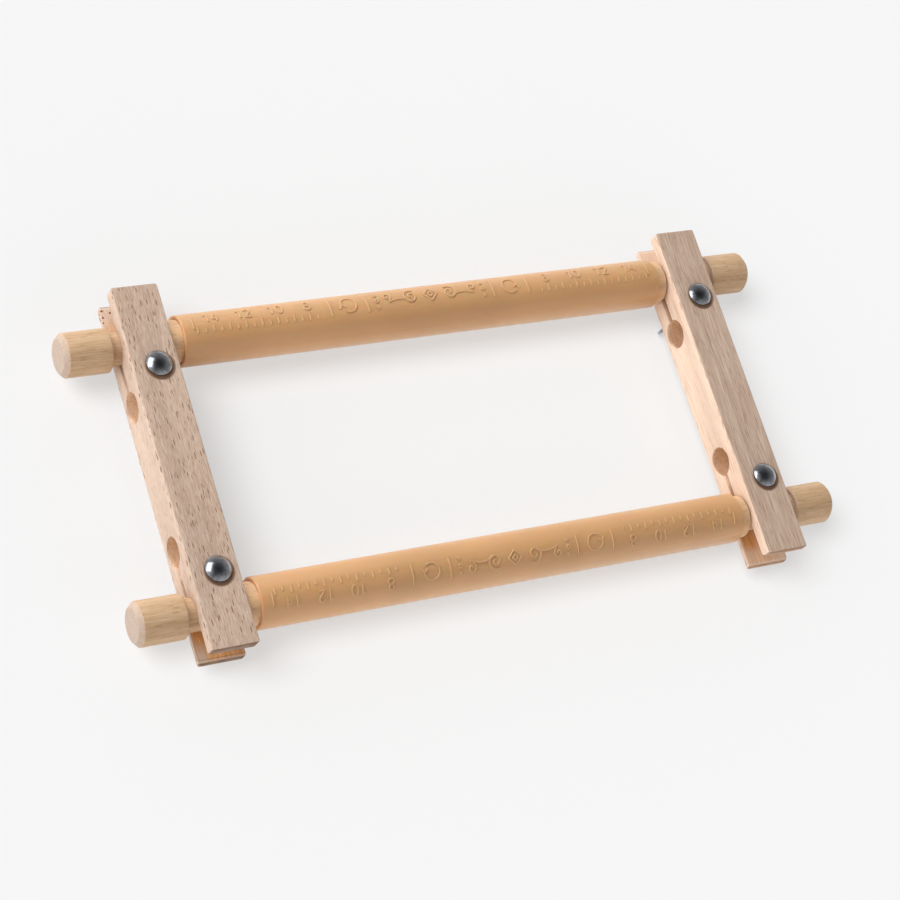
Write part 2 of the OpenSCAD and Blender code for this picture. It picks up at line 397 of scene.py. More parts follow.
def wood_figure_group():
    """Growth bands, fibres and ray flecks of wood whose grain runs along the vector's Z."""
    tree, source, sink = new_group("ShaderNodeTree", "Wood figure", [
        ("Vector", "Vector"), ("Pale", "Color"), ("Dark", "Color"), ("Fleck colour", "Color"),
        ("End colour", "Color"), ("Band width", "Float", 5.0), ("Fibre", "Float", 0.5),
        ("Fleck", "Float", 0.8), ("Fleck cell", "Vector", (1.5, 3.5, 8.0)),
        ("Fleck from", "Float", -0.2), ("Fleck to", "Float", 0.8), ("Fibre length", "Float", 6.0),
        ("Pore", "Float", 0.6), ("End grain", "Float", 0.0),
    ], [("Color", "Color"), ("Roughness", "Float"), ("Height", "Float")])
    pale, dark, fleck_colour = source["Pale"], source["Dark"], source["Fleck colour"]
    per_mm = 1.0 / MM
    grain = source["Vector"] * (per_mm, per_mm, per_mm)

    def streaks(across, along, detail=3.0, roughness=0.5):
        """Noise stretched along the grain, in waves a millimetre across it and along it."""
        return noise(grain * vector_of(tree, across, across, along), 1.0, detail, roughness)

    # Wandering growth bands and a slow change of tone
    wander = streaks(0.05, 0.006, detail=2.0) * 16.0
    bands = (wander + parts(grain)[0] / source["Band width"] * (2 * math.pi)).maths("SINE")
    band_share = bands * 0.2 + 0.36
    base = mix(tree, band_share + (streaks(0.16, 0.012) - 0.5), pale, dark)

    # Dark and light fibres
    fibres = streaks(1.9, 1.0 / source["Fibre length"], roughness=0.7)
    dark_fibre, light_fibre = mix(tree, 0.45, dark, fleck_colour), (0.84, 0.70, 0.58)
    dark_share = ramp(fibres, 0.5, 0.68) * source["Fibre"]
    light_share = ramp(fibres, 0.5, 0.34) * source["Fibre"] * 0.6
    fibred = mix(tree, light_share, mix(tree, dark_share, base, dark_fibre), light_fibre)

    # One fleck to a cell, of its own size and depth
    bend = vector_of(tree, streaks(0.09, 0.03, detail=1.0) * 2.0)
    distance, drawn = cells(grain / source["Fleck cell"] + bend, randomness=0.9)
    depth = ramp(drawn[1], source["Fleck from"], source["Fleck to"]) * source["Fleck"]
    fleck_mask = spot(distance, drawn[0] * 0.16 + 0.28, core=0.65) * depth
    flecked = mix(tree, fleck_mask, fibred, fleck_colour)

    # Pores where the grain ends
    pore_mask = spot(cells(grain, 1.1)[0], 0.5, core=0.4) * source["Pore"]
    end_wood = mix(tree, band_share * 0.4, source["End colour"], dark)
    end_colour = mix(tree, pore_mask, end_wood, fleck_colour)
    feed(sink["Color"], mix(tree, source["End grain"], flecked, end_colour))
    feed(sink["Roughness"], fibres * 0.12 + 0.5)
    feed(sink["Height"], fibres * 0.35 - fleck_mask)
    return tree


def surface_wear_group():
    """Smudges and fine specks that change a moulded or metal surface's roughness."""
    tree, source, sink = new_group("ShaderNodeTree", "Surface wear", [
        ("Vector", "Vector"), ("Spread", "Float", 60.0), ("Low", "Float", 0.3),
        ("High", "Float", 0.45),
    ], [("Roughness", "Float"), ("Height", "Float")])
    smudges = noise(source["Vector"], source["Spread"], 4.0, 0.6)
    fine = noise(source["Vector"], source["Spread"] * 24.0, 2.0)
    feed(sink["Roughness"], smudges * (source["High"] - source["Low"]) + source["Low"])
    feed(sink["Height"], smudges * 6.0 + fine)
    return tree


def shared_effect(tree, name, make, inputs):
    """The outputs of a shared effect, whose group is made the first time it is asked for."""
    group = bpy.data.node_groups.get(name) or make()
    return outputs(put(tree, "ShaderNodeGroup", inputs, node_tree=group))


# Materials

def new_material(name):
    """A material with its tree, its Principled node and its texture coordinates."""
    material = bpy.data.materials.new(name)
    material.use_nodes = True
    tree = material.node_tree
    tree.nodes.clear()
    shader = tree.nodes.new("ShaderNodeBsdfPrincipled")
    put(tree, "ShaderNodeOutputMaterial", [Value(shader.outputs[0])])
    return material, tree, shader, outputs(tree.nodes.new("ShaderNodeTexCoord"))


def set_inputs(shader, values):
    """Sets a shader's inputs by name."""
    for name, value in values.items():
        feed(shader.inputs[name], value)


def bump(height, distance):
    """A normal that shows a height."""
    return output_of(height.tree, "ShaderNodeBump",
                     {"Strength": 1.0, "Distance": distance, "Height": height})


def toned(tone, factor, most=1.0):
    """A colour made lighter or darker."""
    return tuple(min(part * factor, most) for part in tone)


def wood_material(name, grain_axis, offset, overlays, tones, values):
    """Sanded wood with its grain along X or Y, cut from its own place in the tree.

    Tones give its pale and dark growth, its end grain and how much of its flecks shows, and
    each of the overlays, knots or painted shadows, gives a mask with its colour."""
    material, tree, shader, place = new_material(name)
    quarter = math.radians(90)
    turn = {"X": (0.0, quarter, 0.0), "Y": (quarter, 0.0, 0.0)}[grain_axis]
    mapped = output_of(tree, "ShaderNodeMapping", {
        "Vector": place["Object"], "Rotation": turn, "Location": offset})
    facing_end = abs(parts(place["Normal"])["XY".index(grain_axis)])
    pale, dark, end_colour, flecked = tones(place)
    figure = shared_effect(tree, "Wood figure", wood_figure_group, {
        **values, "Vector": mapped, "Pale": pale, "Dark": dark, "End colour": end_colour,
        "End grain": ramp(facing_end, 0.4, 0.8), "Fleck colour": colours().fleck,
        "Fleck": flecked * values["Fleck"]})
    colour_out = figure["Color"]
    for overlay in overlays:
        mask, tint = overlay(place)
        colour_out = mix(tree, mask, colour_out, tint)
    set_inputs(shader, {
        "Base Color": colour_out, "Roughness": figure["Roughness"], "Specular IOR Level": 0.35,
        "Normal": bump(figure["Height"], 0.12 * MM)})
    return material


def worn_material(name, tone, dull, tone_noise, tone_range, wear, **values):
    """A moulded or metal surface with two close tones and a little wear.

    Wear is its spread and the lowest and highest roughness."""
    material, tree, shader, place = new_material(name)
    spread, smoothest, roughest = wear
    worn = shared_effect(tree, "Surface wear", surface_wear_group, {
        "Vector": place["Object"], "Spread": spread, "Low": smoothest, "High": roughest})
    share = ramp(noise(place["Object"], *tone_noise), *tone_range)
    set_inputs(shader, {
        "Base Color": mix(tree, share, tone, toned(tone, dull)), "Roughness": worn["Roughness"],
        "Normal": bump(worn["Height"], 0.012 * MM), **values})
    return material


def clip_material(name, depth):
    """Satin moulded plastic with faint mould texture, which light enters by some depth."""
    values = {"Specular IOR Level": 0.8, "Sheen Weight": 0.2, "Sheen Roughness": 0.35}
    if depth:
        values.update({"Subsurface Weight": 0.55, "Subsurface Radius": (1.0, 0.38, 0.12),
                       "Subsurface Scale": depth})
    return worn_material(name, colours().clip, 0.93, tone_noise=(22.0, 2.0),
                         tone_range=(0.35, 0.7), wear=(45.0, 0.36, 0.48), **values)


def steel_material(name, smoothest, roughest):
    """Bright plated steel, more or less polished."""
    return worn_material(name, colours().steel, 0.72, tone_noise=(420.0, 4.0, 0.7),
                         tone_range=(0.4, 0.65), wear=(220.0, smoothest, roughest),
                         Metallic=1.0)


def arm_tones(side, side_tone, end_tone, lip_shade):
    """Tones of an arm: paler on its two sides, with painted warm shade inside its mouths and
    painted bounce light inside its holes.

    The lip shade is how much painted warm shade reaches a mouth's open end, from 0 to 1."""
    low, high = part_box(side + "_arm")
    middle_x = (low.x + high.x) / 2
    half = (high.x - low.x) / 2
    seat_y = node_middle("upper_roller").y
    mouth = (seat_y - 20.0 * MM, seat_y - 10.0 * MM)

    def tones(place):
        tree = place["Object"].tree
        x, y, z = parts(place["Object"])
        off_middle = x - middle_x
        to_end = (high.y - y).maths("MINIMUM", y - low.y)
        from_outside = half - off_middle * math.copysign(1.0, middle_x)
        # Between the front and the back face, and in from both sides
        between = (ramp(z, high.z - 1.3 * MM, high.z - 3.0 * MM)
                   * ramp(z, low.z + 1.3 * MM, low.z + 3.0 * MM))
        deep = ramp(abs(off_middle), half - 0.3 * MM, half - 2.0 * MM)
        # Painted shade lies away from the mouths' open ends and in from their outer sides, and
        # less in the upper mouths, which are lit
        lip = ramp(from_outside, 4.0 * MM, 9.0 * MM) * lip_shade
        sheltered = ramp(to_end, 5.0 * MM, 16.0 * MM).maths("MAXIMUM", lip)
        unlit = 1.0 - ramp(y, *mouth) * 0.55
        # Mask of the painted warm shade and bounce light deep inside the mouths and holes
        inside = deep * (sheltered * unlit * ramp(to_end, 0.8 * MM, 3.0 * MM)) * between
        # The paler side tone also goes on every face between the front and the back, which paints
        # light on the mouths' shaded inner faces
        side_and_painted_light = ramp(abs(parts(place["Normal"])[0]), 0.6, 0.95).maths("MAXIMUM", between)
        shade_tone = mix(tree, ramp(abs(y), *mouth), colours().arm_hole, colours().arm_inside)
        pale = mix(tree, inside, mix(tree, side_and_painted_light, colours().arm_pale, side_tone), shade_tone)
        dark_wood = mix(tree, side_and_painted_light, colours().arm_dark, toned(side_tone, 0.86))
        dark = mix(tree, inside, dark_wood, mix(tree, 0.3, shade_tone, colours().fleck))
        end_colour = mix(tree, ramp(to_end, 8.0 * MM, 4.0 * MM), pale, end_tone)
        return pale, dark, end_colour, 1.0 - between * 0.75
    return tones


def pin_knots(place):
    """Small round dark knots near the far end of the left arm's back."""
    low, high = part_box("left_arm")
    y, z = parts(place["Object"])[1:]
    near_end = ramp(y, high.y - 14.0 * MM, high.y - 12.0 * MM)
    near_back = ramp(z, low.z + 9.0 * MM, low.z + 8.0 * MM)
    distance, drawn = cells(place["Object"], 380.0)
    knots = spot(distance, drawn[0] * 0.18 + 0.22, core=0.6)
    return knots * near_end * near_back * 0.95, (0.15, 0.03, 0.01)


def pressed_rings(side):
    """Painted shadow: thin dark rings round the heads of an arm's two bolts, each set off its
    head towards the side that the key lamp leaves in shade.
    """
    def rings(place):
        inner, outer = sizes().head_radius + 0.6 * MM, sizes().head_radius + 2.1 * MM
        found = []
        for end in ENDS:
            bolt = node_middle(f"bolt_{side}_{end}")
            # The painted shadow's middle lies off the head towards +X and −Y, where the key
            # lamp's shadow falls
            middle = (bolt.x + 0.5 * MM, bolt.y - 1.2 * MM, ARM_FRONT)
            found.append(ramp(place["Object"].measure("DISTANCE", middle), outer, inner))
        return found[0].maths("MAXIMUM", found[1]) * 0.85, (0.14, 0.06, 0.025)
    return rings


def arm_wood(side):
    """Beech of one arm: the left one is boldly flecked, the right one is finer and darker."""
    side_tone, end_tone = colours().arm_side, colours().arm_end
    rings = pressed_rings(side)
    if side == "left":
        tones = arm_tones(side, side_tone, end_tone, lip_shade=1.0)
        values = {"Band width": 13.0, "Fibre": 0.6, "Fleck": 0.92, "Fleck cell": (1.0, 2.2, 6.6),
                  "Fleck from": 0.05, "Fleck to": 0.4}
        return wood_material("beech_left", "Y", (0.031, 0.012, 0.05), [pin_knots, rings], tones,
                             values)
    tones = arm_tones(side, toned(side_tone, 1.38, most=0.93), toned(end_tone, 2.0),
                      lip_shade=0.3)
    values = {"Band width": 9.0, "Fibre": 0.75, "Fibre length": 22.0, "Fleck": 0.5,
              "Fleck cell": (0.8, 1.0, 9.0)}
    return wood_material("beech_right", "Y", (0.207, 0.043, 0.31), [rings], tones, values)


def dowel_wood():
    """Pale straight-grained dowel."""
    def tones(place):
        tree = place["Object"].tree
        along = abs(parts(place["Object"])[0])
        # Lighter, warmer wood between the necks, partly painted light where the arms shade the
        # barrel
        barrel = ramp(along, sizes().barrel_half + 1.0 * MM, sizes().barrel_half)
        return (mix(tree, barrel, colours().dowel_pale, colours().dowel_barrel),
                mix(tree, barrel, colours().dowel_dark, colours().dowel_pale),
                colours().dowel_end, 1.0)
    values = {"Band width": 6.0, "Fibre": 0.42, "Fibre length": 14.0, "Fleck": 0.25,
              "Fleck cell": (0.9, 2.5, 7.0), "Pore": 0.3}
    return wood_material("dowel_wood", "X", (0.11, 0.07, 0.02), [], tones, values)


# Arms

class CLIPFRAME_OT_arms(bpy.types.Operator):
    """Eases the edges of both arms and gives them their beech"""
    bl_idname = "clipframe.arms"
    bl_label = "Arms"

    def execute(self, context):
        for side in SIDES:
            node = side + "_arm"
            mesh = eased_copy(node, node + "_wood", sizes().arris)
            new_piece(node + "_wood", mesh, "frame", [node], material=arm_wood(side))
        return {"FINISHED"}


# Rollers

def turned_tree():
    """Turns a line of points along X, each with its own radius, into a solid of revolution."""
    tree, source, sink = new_group("GeometryNodeTree", "Turned piece", [
        ("Geometry", "Geometry"), ("Sides", "Int", 96), ("Material", "Material"),
    ], [("Geometry", "Geometry")])
    radius = output_of(tree, "GeometryNodeInputNamedAttribute", {"Name": "turned_radius"},
                       data_type="FLOAT")
    line = output_of(tree, "GeometryNodeMeshToCurve", [source["Geometry"]])
    section = output_of(tree, "GeometryNodeCurvePrimitiveCircle",
                        {"Resolution": source["Sides"], "Radius": 1.0})
    solid = output_of(tree, "GeometryNodeCurveToMesh", {
        "Curve": line, "Profile Curve": section, "Scale": radius, "Fill Caps": True})
    return end_tree(sink, solid, source["Material"])


def turned_seed(name, outline):
    """A line along X through an outline's points, which are [radius, place]."""
    mesh = mesh_of(name, [(place, 0.0, 0.0) for radius, place in outline],
                   edges=[(i, i + 1) for i in range(len(outline) - 1)])
    radii = mesh.attributes.new("turned_radius", "FLOAT", "POINT")
    radii.data.foreach_set("value", [radius for radius, place in outline])
    return mesh


def eased_corner(before, corner, after, reach, steps=4):
    """Points that round the corner of an outline, as a short curve through its neighbours."""
    corner = Vector(corner)
    start = corner + (Vector(before) - corner).normalized() * reach
    end = corner + (Vector(after) - corner).normalized() * reach
    points = []
    for i in range(steps + 1):
        t = i / steps
        points.append(tuple((1 - t) ** 2 * start + 2 * t * (1 - t) * corner + t ** 2 * end))
    return points


def roller_outline():
    """[radius, place] along a roller from end to end, with its corners a little worn."""
    size = sizes()
    corner_wear = 0.35 * MM
    end_r = DOWEL_R - size.knob_edge
    right = [
        (0.0, 0.0), (DOWEL_R, 0.0),
        (DOWEL_R, size.barrel_half - size.shoulder_edge),
        (DOWEL_R - size.shoulder_edge, size.barrel_half),
        (size.neck_radius, size.barrel_half), (size.neck_radius, size.knob_start),
        (DOWEL_R - size.shoulder_edge, size.knob_start),
        (DOWEL_R, size.knob_start + size.shoulder_edge),
        (DOWEL_R, ROLLER_HALF - size.knob_edge), (end_r, ROLLER_HALF), (0.0, ROLLER_HALF),
    ]
    eased = []
    for before, corner, after in zip(right[1:], right[2:], right[3:]):
        eased += eased_corner(before, corner, after, corner_wear)
    half = [(DOWEL_R, 0.0), *eased]
    # Points up a shoulder share their place, and a step apart they still make a line
    step = 1e-6
    line = []
    for radius, place in half:
        if line and place <= line[-1][1]:
            place = line[-1][1] + step
        line.append((radius, place))
    return [(radius, -place) for radius, place in reversed(line[1:])] + line


class CLIPFRAME_OT_rollers(bpy.types.Operator):
    """Turns both rollers from dowel"""
    bl_idname = "clipframe.rollers"
    bl_label = "Rollers"

    def execute(self, context):
        values = {"Material": dowel_wood()}
        tree = turned_tree()
        for end in ENDS:
            name = end + "_roller"
            line = turned_seed(name + "_line", roller_outline())
            mesh = grown_mesh(name + "_wood", line, tree, values)
            mesh.transform(Matrix.Translation(node_middle(name)))
            smooth_by_angle(mesh)
            new_piece(name + "_wood", mesh, name, [name])
        return {"FINISHED"}


# Clips

def arc(middle, radius, start, stop, steps=16):
    """Points along an arc, in degrees; radius is one number or two for an oval."""
    rx, ry = radius if hasattr(radius, "__len__") else (radius, radius)
    angles = [math.radians(start + (stop - start) * i / steps) for i in range(steps + 1)]
    return [(middle[0] + rx * math.cos(a), middle[1] + ry * math.sin(a)) for a in angles]


def spiral(middle, inner, outer, start, stop, steps):
    """Points along a spiral that opens from the inner to the outer radius."""
    points = []
    for i in range(steps + 1):
        t = i / steps
        a = math.radians(start + (stop - start) * t)
        r = inner + (outer - inner) * t
        points.append((middle[0] + r * math.cos(a), middle[1] + r * math.sin(a)))
    return points


def digit_strokes(digit):
    """A plain numeral's strokes in a box 0.6 wide and 1 high."""
    return {
        "0": [arc((0.3, 0.5), (0.3, 0.5), 0, 360)],
        "1": [[(0.1, 0.78), (0.34, 1.0), (0.34, 0.0)]],
        "2": [arc((0.3, 0.72), (0.28, 0.28), 170, -30) + [(0.02, 0.0), (0.6, 0.0)]],
        "3": [arc((0.27, 0.75), (0.27, 0.25), 150, -90),
              arc((0.27, 0.26), (0.31, 0.26), 90, -150)],
        "4": [[(0.44, 0.0), (0.44, 1.0), (0.0, 0.3), (0.6, 0.3)]],
        "5": [[(0.54, 1.0), (0.1, 1.0), (0.05, 0.56)]
              + arc((0.28, 0.31), (0.31, 0.31), 125, -145)],
        "6": [arc((0.3, 0.3), (0.29, 0.3), 0, 360), [(0.012, 0.36), (0.14, 0.72), (0.42, 1.0)]],
        "7": [[(0.0, 1.0), (0.58, 1.0), (0.2, 0.0)]],
        "8": [arc((0.3, 0.76), (0.24, 0.24), 0, 360), arc((0.3, 0.26), (0.3, 0.26), 0, 360)],
        "9": [arc((0.3, 0.7), (0.29, 0.3), 0, 360), [(0.588, 0.64), (0.46, 0.28), (0.18, 0.0)]],
    }[digit]


def numeral(number, middle, height):
    """Strokes of a whole number, centred on a place."""
    text = str(number)
    pitch = 0.82
    width = pitch * (len(text) - 1) + 0.6
    strokes = []
    for i, digit in enumerate(text):
        for stroke in digit_strokes(digit):
            strokes.append([(middle[0] + (x + i * pitch - width / 2) * height,
                             middle[1] + (y - 0.5) * height) for x, y in stroke])
    return strokes


def mirrored(strokes):
    """Strokes with their other halves, mirrored about the clip's middle."""
    return strokes + [[(-x, y) for x, y in stroke] for stroke in strokes]


def bar(x, half):
    """A straight upright stroke."""
    return [(x, -half), (x, half)]


def turn_arrow(middle, radius):
    """A round arrow that says which way to turn the roller."""
    tip = (middle[0] + radius, middle[1])
    barb = 0.52 * radius
    return [arc(middle, radius, 310, 0, 30),
            [(tip[0] - barb, tip[1] - 0.6 * barb), tip, (tip[0] + 0.45 * barb, tip[1] - barb)]]


def diamond(middle, half):
    """A square on its corner."""
    x, y = middle
    return [(x - half, y), (x, y + half), (x + half, y), (x, y - half), (x - half, y)]


def clip_strokes():
    """Every raised stroke of a clip but its ticks, laid flat, in millimetres from its middle."""
    half_ornament = [
        spiral((13.0, 0.6), 0.8, 5.0, -420, 120, 60),
        arc((21.2, -3.6), (8.0, 3.4), 30, 168, 20),
        spiral((28.6, 2.2), 0.6, 2.9, -200, 250, 40),
        arc((35.6, 0.0), 1.0, 0, 360), arc((35.6, 4.4), 0.7, 0, 360),
        arc((35.6, -4.4), 0.7, 0, 360),
        bar(42.0, 6.2), bar(66.0, 6.2), bar(152.0, 4.0),
    ]
    strokes = mirrored(half_ornament + turn_arrow((54.0, 0.0), 4.9))
    strokes += [diamond((0.0, 0.6), 4.4), diamond((0.0, 0.6), 1.7)]
    for centimetre in (8, 10, 12, 14):
        for side in (-1, 1):
            strokes += numeral(centimetre, (side * centimetre * 10.0, 3.0), 6.2)
    return strokes


def strokes_mesh(name, strokes):
    """Strokes in millimetres as a mesh of edges, flat in X and Y."""
    points, edges = [], []
    for stroke in strokes:
        first = len(points)
        points += [(x * MM, y * MM, 0.0) for x, y in stroke]
        edges += [(i, i + 1) for i in range(first, len(points) - 1)]
    return mesh_of(name, points, edges=edges)


def marks_tree():
    """Raised strokes and a tick scale, laid round a clip's skin."""
    tree, source, sink = new_group("GeometryNodeTree", "Clip marks", [
        ("Geometry", "Geometry"), ("Clip radius", "Float"), ("Axis", "Vector"),
        ("Facing", "Float", 1.0), ("Middle angle", "Float"), ("Stroke width", "Float"),
        ("Stroke height", "Float"), ("Tick gap", "Float"), ("Tick count", "Int", 61),
        ("Tick foot", "Float"), ("Tick height", "Float"), ("Bare middle", "Float"),
        ("Material", "Material"),
    ], [("Geometry", "Geometry")])
    strokes = output_of(tree, "GeometryNodeMeshToCurve", [source["Geometry"]])
    x, y, z = parts(output_of(tree, "GeometryNodeInputPosition"))

    # Ticks, every other one shorter, and none in the middle
    start_x = (source["Tick count"] - 1.0) * source["Tick gap"] * -0.5
    row = output_of(tree, "GeometryNodeMeshLine", {
        "Count": source["Tick count"], "Offset": vector_of(tree, source["Tick gap"]),
        "Start Location": vector_of(tree, start_x, source["Tick foot"])}, mode="OFFSET")
    every_other = output_of(tree, "GeometryNodeInputIndex").maths("MODULO", 2.0)
    tick_height = source["Tick height"] * (1.0 - every_other * 0.4)
    tick = output_of(tree, "GeometryNodeCurvePrimitiveLine", {"End": (0.0, 1.0, 0.0)})
    ticks = output_of(tree, "GeometryNodeInstanceOnPoints", {
        "Points": row, "Instance": tick, "Scale": vector_of(tree, 1.0, tick_height, 1.0),
        "Selection": abs(x).maths("GREATER_THAN", source["Bare middle"])})
    real_ticks = output_of(tree, "GeometryNodeRealizeInstances", [ticks])

    # A band with rounded edges along each stroke and tick
    even = output_of(tree, "GeometryNodeResampleCurve",
                     {"Curve": joined(strokes, real_ticks), "Length": 0.6 * MM}, mode="LENGTH")
    upright = output_of(tree, "GeometryNodeSetCurveNormal", [even], mode="Z_UP")
    section = output_of(tree, "GeometryNodeCurvePrimitiveQuadrilateral", {
        "Width": source["Stroke width"], "Height": source["Stroke height"] * 2.0})
    eased = output_of(tree, "GeometryNodeFilletCurve", {
        "Curve": section, "Count": 2, "Radius": source["Stroke height"] * 0.4}, mode="POLY")
    bands = output_of(tree, "GeometryNodeCurveToMesh",
                      {"Curve": upright, "Profile Curve": eased, "Fill Caps": True})

    # Wrapped round the clip's axis
    angle = source["Facing"] * (source["Middle angle"] + y / source["Clip radius"])
    radius = source["Clip radius"] + z
    wrapped = source["Axis"] + vector_of(tree, x * source["Facing"],
                                         radius * angle.maths("SINE"),
                                         radius * angle.maths("COSINE"))
    laid = output_of(tree, "GeometryNodeSetPosition", {"Geometry": bands, "Position": wrapped})
    return end_tree(sink, laid, source["Material"])


class CLIPFRAME_OT_clips(bpy.types.Operator):
    """Gives both clips their plastic and their raised scale and scrolls"""
    bl_idname = "clipframe.clips"
    bl_label = "Clips"

    def execute(self, context):
        size = sizes()
        plastic = clip_material("moulded_clip", size.light_depth)
        values = {
            "Clip radius": CLIP_R, "Middle angle": math.radians(15),
            "Stroke width": size.stroke_width, "Stroke height": size.stroke_height,
            "Tick gap": size.tick_gap, "Tick height": size.tick_height,
            "Tick foot": -6.6 * MM, "Bare middle": size.bare_middle,
            "Material": clip_material("raised_marks", 0.0)}
        tree = marks_tree()
        for end, facing in (("upper", 1.0), ("lower", -1.0)):
            body = end + "_clip"
            shell = merged_copy(body, body + "_shell")
            smooth_by_angle(shell)
            new_piece(body + "_shell", shell, body, [body], material=plastic)
            values.update({"Axis": tuple(node_middle(end + "_roller")), "Facing": facing})
            seed = strokes_mesh("marks", clip_strokes())
            marks = grown_mesh(body + "_marks", seed, tree, values)
            smooth_by_angle(marks, 50)
            new_piece(body + "_marks", marks, body)
        return {"FINISHED"}


# Bolts

def bolt_outline():
    """(radius, height) down a coach bolt that stands on its tip: dome, shank and core."""
    size = sizes()
    dome = BOLT_LENGTH - ARM_FRONT - size.head_rim
    dome_r = (size.head_radius ** 2 + dome ** 2) / (2 * dome)
    reach = math.asin(size.head_radius / dome_r)
    steps = 14
    angles = [reach * i / steps for i in range(steps + 1)]
    outline = [(dome_r * math.sin(a), BOLT_LENGTH - dome_r * (1 - math.cos(a))) for a in angles]
    soft = 0.15 * MM
    tip = 0.4 * MM
    shank_r = size.thread_core + size.thread_pitch / 2
    return outline + [
        (size.head_radius, ARM_FRONT + soft), (size.head_radius - soft, ARM_FRONT),
        (shank_r, ARM_FRONT), (shank_r, size.thread_length),
        (size.thread_core, size.thread_length - soft), (size.thread_core, tip),
        (size.thread_core - tip, 0.0), (0.0, 0.0)]


def bolt_mesh():
    """A coach bolt without its thread, standing on its tip at the origin."""
    outline = bolt_outline()
    sides = 64
    angles = [2 * math.pi * k / sides for k in range(sides)]
    points, faces = [], []
    for radius, z in outline[1:-1]:
        points += [(radius * math.cos(a), radius * math.sin(a), z) for a in angles]
    last = len(points) - sides
    for first in range(0, last, sides):
        for k in range(sides):
            a, b = first + k, first + (k + 1) % sides
            faces.append((a, a + sides, b + sides, b))
    top, bottom = len(points), len(points) + 1
    points += [(0.0, 0.0, BOLT_LENGTH), (0.0, 0.0, 0.0)]
    for k in range(sides):
        faces.append((top, k, (k + 1) % sides))
        faces.append((bottom, last + (k + 1) % sides, last + k))
    return mesh_of("bolt", points, faces=faces)


def bolt_tree():
    """Sets a bolt with a coiled thread on each of some points."""
    tree, source, sink = new_group("GeometryNodeTree", "Bolt set", [
        ("Geometry", "Geometry"), ("Bolt", "Object"), ("Core", "Float"), ("Pitch", "Float"),
        ("Thread length", "Float"), ("Material", "Material"),
    ], [("Geometry", "Geometry")])
    core, pitch = source["Core"], source["Pitch"]
    turns = (source["Thread length"] - pitch * 1.5) / pitch
    coil = output_of(tree, "GeometryNodeCurveSpiral", {
        "Resolution": 40, "Rotations": turns, "Start Radius": core, "End Radius": core,
        "Height": turns * pitch})
    raised = output_of(tree, "GeometryNodeSetPosition", {
        "Geometry": coil, "Offset": vector_of(tree, z=pitch * 0.75)})
    crest = output_of(tree, "GeometryNodeCurvePrimitiveCircle",
                      {"Resolution": 4, "Radius": pitch * 0.48})
    thread = output_of(tree, "GeometryNodeCurveToMesh",
                       {"Curve": raised, "Profile Curve": crest, "Fill Caps": True})
    blank = output_of(tree, "GeometryNodeObjectInfo", {"Object": source["Bolt"]},
                      output="Geometry")
    placed = output_of(tree, "GeometryNodeInstanceOnPoints",
                       {"Points": source["Geometry"], "Instance": joined(thread, blank)})
    return end_tree(sink, placed, source["Material"])


class CLIPFRAME_OT_bolts(bpy.types.Operator):
    """Sets the four coach bolts, with their domed heads and coiled threads"""
    bl_idname = "clipframe.bolts"
    bl_label = "Bolts"

    def execute(self, context):
        names = ["bolt_" + place for place in PLACES]
        feet = [(*node_middle(name).xy, 0.0) for name in names]
        blank = bpy.data.objects.new("bolt_blank", bolt_mesh())
        mesh = grown_mesh("bolts_steel", mesh_of("bolt_feet", feet), bolt_tree(), {
            "Bolt": blank, "Core": sizes().thread_core, "Pitch": sizes().thread_pitch,
            "Thread length": sizes().thread_length,
            "Material": steel_material("polished_steel", 0.14, 0.26)})
        bpy.data.objects.remove(blank)
        smooth_by_angle(mesh)
        new_piece("bolts_steel", mesh, "frame", names)
        return {"FINISHED"}


# Washers and wing nuts

class CLIPFRAME_OT_nuts(bpy.types.Operator):
    """Finishes the washers and the wing nuts behind the arms"""
    bl_idname = "clipframe.nuts"
    bl_label = "Washers and wing nuts"

    def execute(self, context):
        plate = steel_material("plated_steel", 0.24, 0.4)
        for place in PLACES:
            washer = "washer_" + place
            mesh = eased_copy(washer, washer + "_steel", sizes().washer_edge)
            new_piece(washer + "_steel", mesh, washer, [washer], material=plate)
            nut = "wing_nut_" + place
            mesh = modified_mesh(merged_copy(nut, nut + "_steel", flat_angle=0.0), [
                ("REMESH", {"mode": "VOXEL", "voxel_size": sizes().cast_grain}),
                ("SMOOTH", {"factor": 0.5, "iterations": 5})])
            mesh.shade_smooth()
            new_piece(nut + "_steel", mesh, nut, [nut], material=plate)
        return {"FINISHED"}


# Stage

def add_lamp(name, kind, direction, distance=2.0, **settings):
    """A lamp that shines from a direction towards the frame's middle."""
    data = bpy.data.lights.new(name, kind)
    for key, value in settings.items():
        setattr(data, key, value)
    lamp = add_object(name, data)
    towards = Vector(direction).normalized()
    lamp.location = towards * distance
    lamp.rotation_mode = "QUATERNION"
    lamp.rotation_quaternion = (-towards).to_track_quat("-Z", "Y")
    return lamp


def add_camera():
    """The camera at the photograph's place, rolled as the photograph is."""
    place = Vector((-0.67678, -0.42025, 1.23004))
    aim = Vector((-0.01135, -0.00917, 0.0291))
    roll = math.radians(44.833)
    data = bpy.data.cameras.new("camera")
    data.sensor_width = 36.0
    data.lens = 98.507
    camera = add_object("camera", data)
    camera.location = place
    camera.rotation_mode = "QUATERNION"
    camera.rotation_quaternion = ((aim - place).to_track_quat("-Z", "Y")
                                  @ Quaternion((0.0, 0.0, 1.0), roll))
    bpy.context.scene.camera = camera


